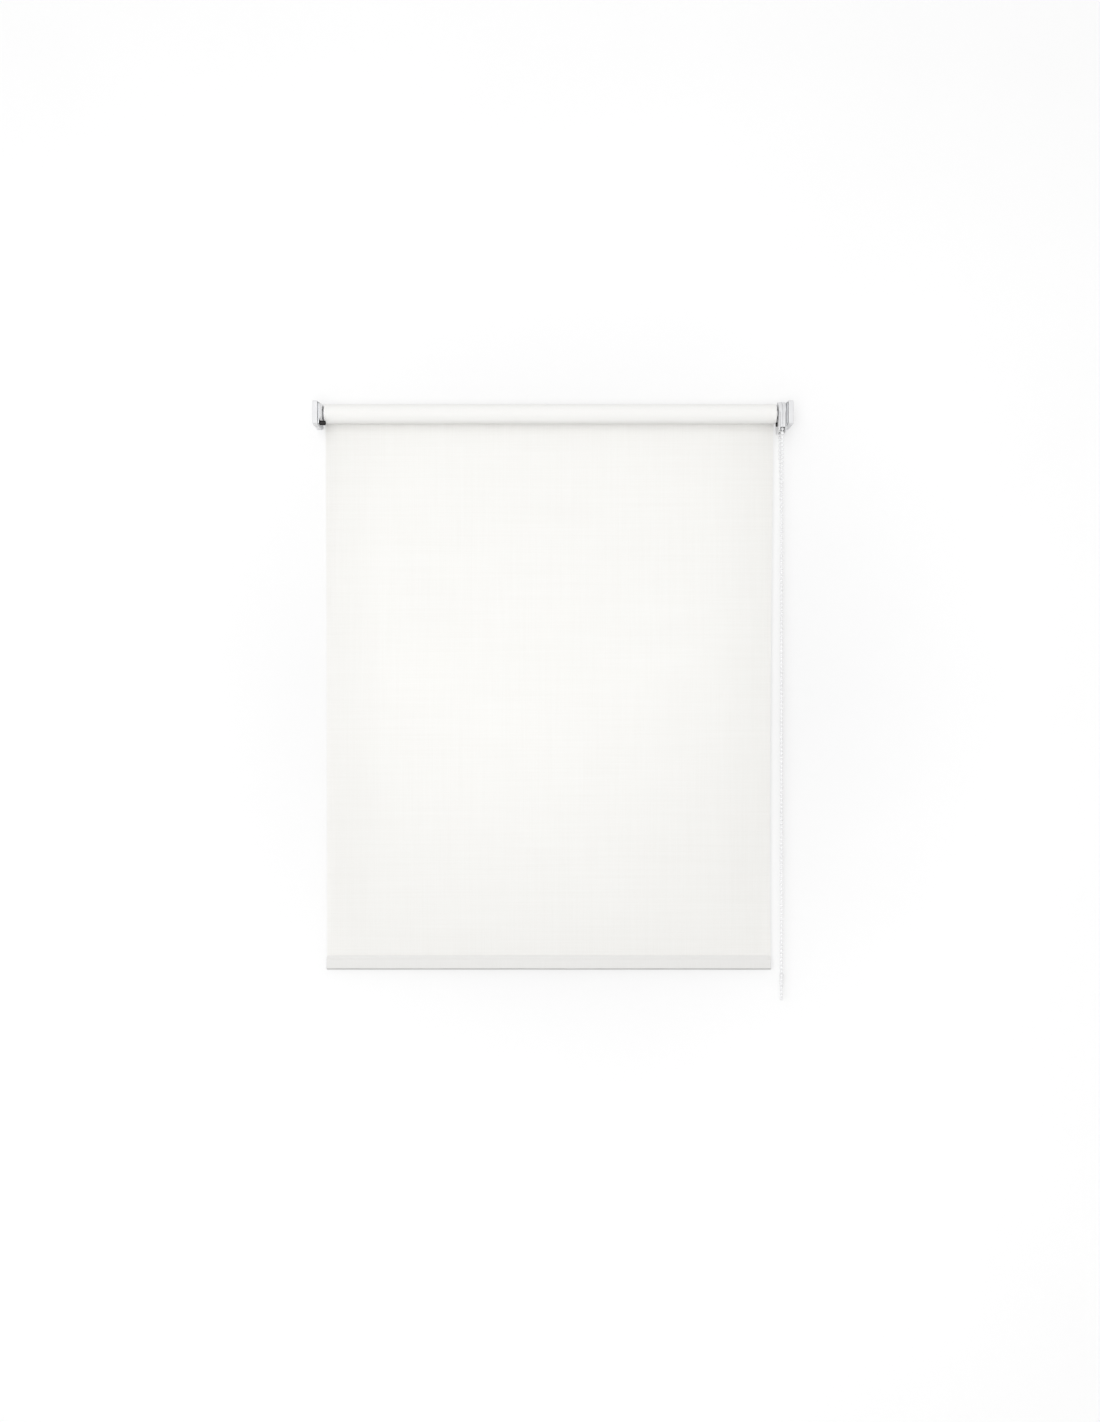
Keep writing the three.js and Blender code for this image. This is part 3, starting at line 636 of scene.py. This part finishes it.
def bracket_cover(node, side, screw_y, screw_z, materials):
    """A moulded cap with a slightly crowned face, hollow towards the plate, with a boss for its screw."""
    low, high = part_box(node)
    face = high.x if side > 0 else low.x
    rim = low.x if side > 0 else high.x
    inwards = -side
    radius, crown, boss_radius = 1.4 * MM, 0.25 * MM, 3.2 * MM

    def outline(inset):
        corner = max(COVER_CORNER - inset, 0.5 * MM)
        return rounded_rectangle((low.y + inset, low.z + inset), (high.y - inset, high.z - inset), corner)

    shell = [(face + inwards * COVER_WALL, COVER_WALL + 8 * MM), (face + inwards * COVER_WALL, COVER_WALL)]
    shell += [(rim, COVER_WALL), (rim, 0.3 * MM), (rim + side * 0.3 * MM, 0.0)]
    shell += edge_round(face + inwards * crown, inwards, radius)
    shell += [(face + inwards * crown * 0.3, radius + 4 * MM), (face, radius + 9 * MM)]
    bm = bmesh.new()
    loft(bm, [at_x(outline(inset), x) for x, inset in shell])
    boss_end = face + inwards * COVER_WALL * 0.6
    boss = [(rim, SCREW_HOLE), (rim, boss_radius), (boss_end, boss_radius), (boss_end, SCREW_HOLE)]
    lathe(bm, softened(boss, 0.2 * MM), 24, centre=(screw_y, screw_z))
    place(to_object(bm, f"moulded_{node}", materials["cover"]), "mounting", "cover_plastic", node)


def guard_outline(radius, bottom, corner):
    """A round top on straight sides with rounded lower corners, about the roller's axis."""
    low = bottom + corner
    points = arc((radius - corner, low), corner, -90, 0, 6)
    points += arc((0, 0), radius, 0, 180, 36)
    points += arc((corner - radius, low), corner, 180, 270, 6)
    return subdivided(points, 4 * MM)


def guard_half(node, side, hole, materials):
    """One half of the chain guard: a side wall with lips below and half of the rim, open at the bottom."""
    low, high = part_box(node)
    outer = high.x if side > 0 else low.x
    split = low.x if side > 0 else high.x
    inwards = -side
    radius, lip_bottom = (high.y - low.y) / 2, low.z
    wall = outer + inwards * GUARD_WALL
    outline = guard_outline(radius, lip_bottom, GUARD_LIP_CORNER)
    edge, corner = 0.2 * MM, 0.35 * MM
    sections = [(wall, outline)]
    sections += [(x, shrunk(outline, inset)) for x, inset in edge_round(outer, inwards, corner)]
    sections += [(outer, circle_at(outline, hole + edge)), (outer + inwards * edge, circle_at(outline, hole))]
    sections += [(wall, circle_at(outline, hole))]
    bm = bmesh.new()
    loft(bm, [at_x(points, x, (AXIS_Y, 0)) for x, points in sections], closed=True)
    guard_rim(bm, radius, GUARD_RIM_BOTTOM, outer + inwards * GUARD_WALL / 2, split)
    place(to_object(bm, f"moulded_{node}", materials["cover"]), "mounting", "cover_plastic", node)


def guard_rim(bm, radius, bottom, start, end):
    """The band over the top and down both sides, between two places along X."""
    middle, half = radius - GUARD_WALL / 2, GUARD_WALL / 2
    path = [(middle, bottom), (middle, bottom / 2)] + arc((0, 0), middle, 0, 180, 40)
    path += [(-middle, bottom / 2), (-middle, bottom)]
    rings = []
    for y, z in path:
        out = Vector((y, max(z, 0.0))).normalized()
        section = softened([(start, -half), (end, -half), (end, half), (start, half)], 0.3 * MM)
        rings.append([(x, AXIS_Y + y + out.x * r, z + out.y * r) for x, r in section])
    loft(bm, rings)


def idle_socket(materials):
    """The white socket on the left plate: a base, a rim, a hub with the pin's bore and three spokes."""
    low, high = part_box("idle_socket")
    outer, opening, hub, bore = 14.8 * MM, 10.6 * MM, 5.4 * MM, 3.85 * MM
    spoke_half, spoke_top, overlap = 1.2 * MM, 1.5 * MM, 0.5 * MM
    rim = [(low.x, opening), (low.x, outer), (high.x - 0.8 * MM, outer)]
    rim += [(high.x, outer - 0.9 * MM), (high.x, opening)]
    bm = bmesh.new()
    lathe(bm, softened(rim, 0.35 * MM), 72)
    sleeve = [(low.x, bore), (low.x, hub), (high.x, hub), (high.x, bore)]
    lathe(bm, softened(sleeve, 0.3 * MM), 48)
    for i in range(3):
        turn = Matrix.Translation((0, AXIS_Y, 0)) @ Matrix.Rotation(math.radians(90 + 120 * i), 4, "X")
        near = (low.x + 0.1 * MM, -spoke_half, hub - overlap)
        far = (low.x + spoke_top, spoke_half, opening + overlap)
        add_block(bm, near, far, turn)
    socket_base(bm, low.x, (opening + outer) / 2)
    place(to_object(bm, "moulded_idle_socket", materials["plug"]), "mounting", "plug_plastic", "idle_socket")


def socket_base(bm, foot, window_radius):
    """The flat base under the socket's rim: a rounded rectangle with a round window."""
    thickness, corner, edge = 1.1 * MM, 6 * MM, 0.3 * MM
    base_low, base_high = (-45.4 * MM, -11.9 * MM), (-7 * MM, 13.4 * MM)
    top = foot + thickness
    outline = subdivided(rounded_rectangle(base_low, base_high, corner), 3 * MM)
    window = circle_at(outline, window_radius, (AXIS_Y, 0.0))
    sections = [(foot, outline)]
    sections += [(x, shrunk(outline, inset)) for x, inset in edge_round(top, -1, edge)]
    sections += [(top, window), (foot, window)]
    loft(bm, [at_x(points, x) for x, points in sections], closed=True)


def cover_screw(node, side, materials):
    """A screw with a tall or a low pan head and a cross recess, its thread cut as rings."""
    low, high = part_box(node)
    centre = ((low.y + high.y) / 2, (low.z + high.z) / 2)
    head_radius = (high.y - low.y) / 2
    top, tip = (low.x, high.x) if side > 0 else (high.x, low.x)
    depth = LEFT_SCREW_HEAD if side < 0 else RIGHT_SCREW_HEAD
    profile = [(top, 0.35 * head_radius)]
    profile += [(top + side * x * MM, r * head_radius) for x, r in ((0.12, 0.6), (0.5, 0.85), (1.1, 1.0))]
    profile += [(top + side * depth, head_radius), (top + side * depth, SCREW_SHANK)]
    pitch, root = 0.9 * MM, 0.72 * SCREW_SHANK
    x = top + side * (depth + pitch)
    while abs(tip - x) > 2.5 * pitch:
        profile += [(x, root), (x + side * pitch / 2, SCREW_SHANK)]
        x += side * pitch
    profile += [(tip - side * pitch, 0.75 * SCREW_SHANK), (tip, 0.25 * SCREW_SHANK)]
    bm = bmesh.new()
    lathe(bm, profile, 28, centre, closed=False)
    screw = to_object(bm, f"threaded_{node}", materials["screw"])
    tools = []
    narrow, wide, deep = 0.35 * MM, 1.7 * MM, 1.3 * MM
    for across, upright in ((narrow, wide), (wide, narrow)):
        slot = bmesh.new()
        near = (top - deep, centre[0] - across, centre[1] - upright)
        far = (top + deep, centre[0] + across, centre[1] + upright)
        add_block(slot, near, far)
        tools.append(to_object(slot, "recess", materials["screw"]))
    place(carve(screw, *tools), "mounting", "screw_steel", node)
    return centre


# ---- Springs ----


def spring(node, body, materials, coil_radius, wire=0.45 * MM, turns=5):
    """A coil of round wire, given by its radius, between the ends of its CAD solid."""
    low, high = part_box(node)
    start, end = low.x + wire, high.x - wire
    points = []
    steps = 20 * turns
    for i in range(steps + 1):
        angle = 2 * math.pi * turns * i / steps
        x = start + (end - start) * i / steps
        points.append((x, AXIS_Y + coil_radius * math.cos(angle), coil_radius * math.sin(angle)))
    bm = bmesh.new()
    tube_along(bm, points, wire, 8)
    return place(to_object(bm, f"wound_{node}", materials["spring"], 60), body, "spring_steel", node)


def idle_spring(materials):
    """The idle pin's spring, on a mesh of its own; it is made at one length, though the real spring shortens
    as the pin is pushed in.
    """
    made = spring("idle_spring", "roller", materials, coil_radius=3.4 * MM)
    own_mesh(made)


# ---- Cloth ----


def wound_cloth(materials):
    """The cloth on the tube, wound over its top; the last quarter turn lifts to meet the hanging cloth."""
    low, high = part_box("wound_fabric")
    panel_low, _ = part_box("fabric_panel")
    inner, outer, uneven = 12.8 * MM, (high.y - low.y) / 2, 0.06 * MM
    hanging = panel_low.y - AXIS_Y
    turns, per_turn, along_steps = 3.9, 72, 44
    steps = round(turns * per_turn)
    top_layer = outer - CLOTH
    rows = []
    for i in range(steps + 1):
        angle = 2 * math.pi * i / per_turn
        share = i / steps
        base = top_layer + (inner - top_layer) * share
        lift = (hanging - top_layer) * max(0.0, 1 - i / (per_turn / 4)) ** 2
        rows.append((angle, base + lift))
    bm = bmesh.new()
    grids = []
    for thickness in (0.0, CLOTH):
        grid = []
        for angle, radius in rows:
            line = []
            for j in range(along_steps + 1):
                x = cloth_edge(low.x, high.x, angle, j / along_steps)
                spot = Vector((x * 18, math.cos(angle) * 1.5, math.sin(angle) * 1.5))
                r = radius + thickness + uneven * noise.noise(spot)
                line.append(bm.verts.new((x, AXIS_Y + r * math.cos(angle), r * math.sin(angle))))
            grid.append(line)
        grids.append(grid)
    close_sheet(bm, *grids)
    place(to_object(bm, "wound_cloth", materials["wound"], 50), "roller", "cloth", "wound_fabric")


def cloth_edge(left, right, angle, share):
    """A place across the roll; its two ends wander by a fraction of a millimetre from layer to layer."""
    wander = 0.35 * MM * noise.noise(Vector((angle * 0.35, 7.0 if share < 0.5 else 19.0, 0)))
    end = min(share, 1 - share)
    return left + (right - left) * share + wander * max(0.0, 1 - end * 20)


def close_sheet(bm, first, second):
    """Two grids of vertices, one behind the other, made into a thin closed body."""
    rows, columns = len(first), len(first[0])
    for grid in (first, second):
        for i in range(rows - 1):
            for j in range(columns - 1):
                bm.faces.new((grid[i][j], grid[i][j + 1], grid[i + 1][j + 1], grid[i + 1][j]))
    rim = [(0, j) for j in range(columns)] + [(i, columns - 1) for i in range(1, rows)]
    rim += [(rows - 1, j) for j in range(columns - 2, -1, -1)] + [(i, 0) for i in range(rows - 2, 0, -1)]
    for (i, j), (k, m) in zip(rim, rim[1:] + rim[:1]):
        bm.faces.new((first[i][j], first[k][m], second[k][m], second[i][j]))


def hanging_cloth(materials):
    """The cloth from roll to hem: its sides draw in and turn back a little, and it ripples above the hem."""
    low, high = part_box("fabric_panel")
    hem_low, hem_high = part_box("hem_pocket")
    back, height = high.y, high.z - low.z
    columns, rows = 132, 160
    curl, curl_width = 0.2 * MM, 16 * MM
    ripple_size, ripple_height = 0.35 * MM, 60 * MM
    wider_at_roll, roll_reach = 1.2 * MM, 0.05
    wave_size, short_of_hem = 0.5 * MM, 0.9 * MM

    def surface(share, depth):
        """Where the cloth's middle lies: share is 0 to 1 across, depth 0 to 1 down from the roll."""
        ease = 1 - (1 - depth) ** 2
        at_roll = max(0.0, 1 - depth / roll_reach) ** 2
        left = low.x + (hem_low.x - low.x) * ease - wider_at_roll * at_roll
        narrow = math.sin(math.pi * min(1.0, depth * 1.15) / 2) * (1 - 0.25 * max(0.0, depth - 0.9) / 0.1)
        right = high.x + (hem_high.x - short_of_hem - high.x) * narrow + wider_at_roll * at_roll
        x = left + (right - left) * share
        z = high.z - height * depth
        turned = 0.0
        for distance in (x - left, right - x):
            inside = max(0.0, 1 - distance / curl_width)
            turned += curl * inside**2 * math.sin(math.pi * depth) ** 0.7
        above_hem = max(0.0, 1 - (z - low.z) / ripple_height)
        folds = math.sin(x * 210 + 0.8 * math.sin(x * 37)) * (0.35 + 0.65 * share)
        ripple = ripple_size * above_hem**2 * folds * math.sin(math.pi * min(1.0, depth)) ** 0.3
        wave = wave_size * noise.noise(Vector((x * 3.1, z * 2.3, 4.0))) * math.sin(math.pi * depth)
        return Vector((x, back - CLOTH / 2 + turned + ripple + wave, z))

    bm = bmesh.new()
    grids = []
    for offset in (-CLOTH / 2, CLOTH / 2):
        grid = []
        for i in range(rows + 1):
            line = [surface(j / columns, i / rows) + Vector((0, offset, 0)) for j in range(columns + 1)]
            grid.append([bm.verts.new(p) for p in line])
        grids.append(grid)
    close_sheet(bm, *grids)
    cloth = place(to_object(bm, "hanging_cloth", materials["cloth"], 80), "mounting", "cloth", "fabric_panel")
    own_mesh(cloth)
    return cloth


def hem_section(half, neck, top, bottom):
    """Half of the pocket's outline seen end on, from the seam down to its lowest point, as (y, z)."""
    shoulder_drop, steps = 7 * MM, 12
    shoulder = top - shoulder_drop
    points = []
    for i in range(steps + 1):
        t = i / steps
        ease = t * t * (3 - 2 * t)
        points.append((-(neck + (half - neck) * ease), top + (shoulder - top) * t))
    return points + arc((0, bottom + half), half, 180, 270, steps)[1:]


def hem_pocket(materials):
    """The sewn pocket round the bar: two layers that part below the seam, puckered by the stitches."""
    low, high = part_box("hem_pocket")
    middle, half = (low.y + high.y) / 2, (high.y - low.y) / 2
    seam_drop, seam_spread, inner_neck = 1.6 * MM, 2.2 * MM, 0.04 * MM
    swell_size, sag_size, tuck, pucker_size = 0.12 * MM, 0.25 * MM, 0.25, 0.06
    outside = hem_section(half, CLOTH, high.z, low.z)
    outside += [(-y, z) for y, z in reversed(outside[:-1])]
    inside_top = high.z - 2.5 * MM
    inside = hem_section(half - CLOTH, inner_neck, inside_top, low.z + CLOTH)
    inside += [(-y, z) for y, z in reversed(inside[:-1])]
    columns = 220
    bm = bmesh.new()
    rings = {"outside": [], "inside": []}
    for j in range(columns + 1):
        x = low.x + (high.x - low.x) * j / columns
        pucker = math.sin(x * 2 * math.pi / STITCH_PITCH / 4)
        sag = sag_size * noise.noise(Vector((x * 9, 0, 2.0)))
        for name, outline in (("outside", outside), ("inside", inside)):
            ring = []
            for y, z in outline:
                near_seam = math.exp(-(((high.z - seam_drop - z) / seam_spread) ** 2))
                inset = 1 - tuck * near_seam + pucker_size * pucker * near_seam
                swell = swell_size * noise.noise(Vector((x * 25, y * 90, z * 90)))
                low_share = max(0.0, min(1.0, (high.z - z) / (high.z - low.z)))
                out = math.copysign(swell, y) * low_share
                ring.append((x, middle + y * inset + out, z + sag * low_share))
            rings[name].append(ring)
    loft_pocket(bm, rings["outside"], rings["inside"])
    hem = to_object(bm, "sewn_hem_pocket", materials["hem"], 50)
    return place(hem, "bottom_rail", "cloth", "hem_pocket")


def loft_pocket(bm, outside, inside):
    """A tube with a wall: an outer and an inner skin, joined at both open ends."""
    skins = [[[bm.verts.new(p) for p in ring] for ring in rings] for rings in (outside, inside)]
    count = len(skins[0][0])
    for skin in skins:
        for first, second in zip(skin, skin[1:]):
            for i in range(count):
                j = (i + 1) % count
                bm.faces.new((first[i], first[j], second[j], second[i]))
    for end in (0, -1):
        outer, inner = skins[0][end], skins[1][end]
        for i in range(count):
            j = (i + 1) % count
            bm.faces.new((outer[i], outer[j], inner[j], inner[i]))


def stitches(materials):
    """The seam along the top of the pocket: short stitches of white thread on the front and the back."""
    low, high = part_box("hem_pocket")
    middle = (low.y + high.y) / 2
    line = high.z - 1.9 * MM
    length, thread = 2.5 * MM, 0.14 * MM
    foot, arch, unsteady = 0.52 * MM, 0.2 * MM, 0.05 * MM
    bm = bmesh.new()
    count = int((high.x - low.x - 3 * MM) / STITCH_PITCH)
    for i in range(count):
        x = low.x + 2 * MM + i * STITCH_PITCH
        z = line + unsteady * math.sin(i * 1.7)
        for side in (-1, 1):
            path = []
            for k in range(5):
                t = k / 4
                out = foot + arch * math.sin(math.pi * t)
                path.append((x + length * t, middle + side * out, z))
            tube_along(bm, path, thread, 6)
    return place(to_object(bm, "hem_stitches", materials["plug"], 60), "bottom_rail", "cloth")


def bar_cap(node, side, materials):
    """A flat oval cap with softened edges, and the plug behind it that sits in the bar."""
    low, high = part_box(node)
    middle = (low.y + high.y) / 2
    face = high.x if side > 0 else low.x
    back = face - side * 1.3 * MM
    half = (high.y - low.y) / 2

    def outline(inset):
        near, far = (middle - half + inset, low.z + inset), (middle + half - inset, high.z - inset)
        return rounded_rectangle(near, far, half - inset - 0.01 * MM)

    rings = [(back, 0.15 * MM), (back + side * 0.15 * MM, 0.0)] + edge_round(face, -side, 0.45 * MM)
    bm = bmesh.new()
    loft(bm, [at_x(outline(inset), x) for x, inset in rings])
    plug_end = low.x if side > 0 else high.x
    plug = [(plug_end, 1.9 * MM), (plug_end + side * 0.6 * MM, 1.35 * MM)]
    plug += [(back + side * 0.3 * MM, 1.35 * MM)]
    loft(bm, [at_x(outline(inset), x) for x, inset in plug])
    place(to_object(bm, f"moulded_{node}", materials["plug"]), "bottom_rail", "plug_plastic", node)


# ---- CAD nodes that keep their shape ----


def finish_frame(materials):
    """Gives each CAD node that still shows its material, and breaks its sharp edges."""
    kept = {
        "steel": ["left_bracket", "right_bracket", "clutch_post", "clutch_core"],
        "plug": ["idle_plug", "idle_plug_cap", "idle_pin", "drive_plug", "chain_wheel", "fabric_spline"],
        "spring": ["post_clip"],
        "aluminium": ["roller_tube", "bottom_bar"],
    }
    for finish, names in kept.items():
        for name in names:
            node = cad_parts[name]
            node.data.materials.clear()
            node.data.materials.append(materials[finish])
            soften = node.modifiers.new("broken_edges", "BEVEL")
            soften.width = BROKEN_EDGE
            soften.segments = 2
            soften.limit_method = "ANGLE"
            soften.angle_limit = math.radians(40)


def main():
    add_camera()
    materials = make_materials()
    bead_chain(materials)
    wheel_beads(materials)
    left_screw = cover_screw("left_cover_screw", -1, materials)
    right_screw = cover_screw("right_cover_screw", 1, materials)
    bracket_cover("left_bracket_cover", -1, *left_screw, materials)
    bracket_cover("right_bracket_cover", 1, *right_screw, materials)
    guard_half("chain_guard_inner", -1, GUARD_INNER_HOLE, materials)
    guard_half("chain_guard_outer", 1, GUARD_OUTER_HOLE, materials)
    idle_socket(materials)
    idle_spring(materials)
    for name in ("wrap_spring_1", "wrap_spring_2"):
        spring(name, "roller", materials, coil_radius=6.6 * MM)
    wound_cloth(materials)
    cloth = hanging_cloth(materials)
    hem = hem_pocket(materials)
    seam = stitches(materials)
    bar_cap("bottom_bar_cap_left", -1, materials)
    bar_cap("bottom_bar_cap_right", 1, materials)
    finish_frame(materials)
    add_lights()
    add_backdrop()


main()
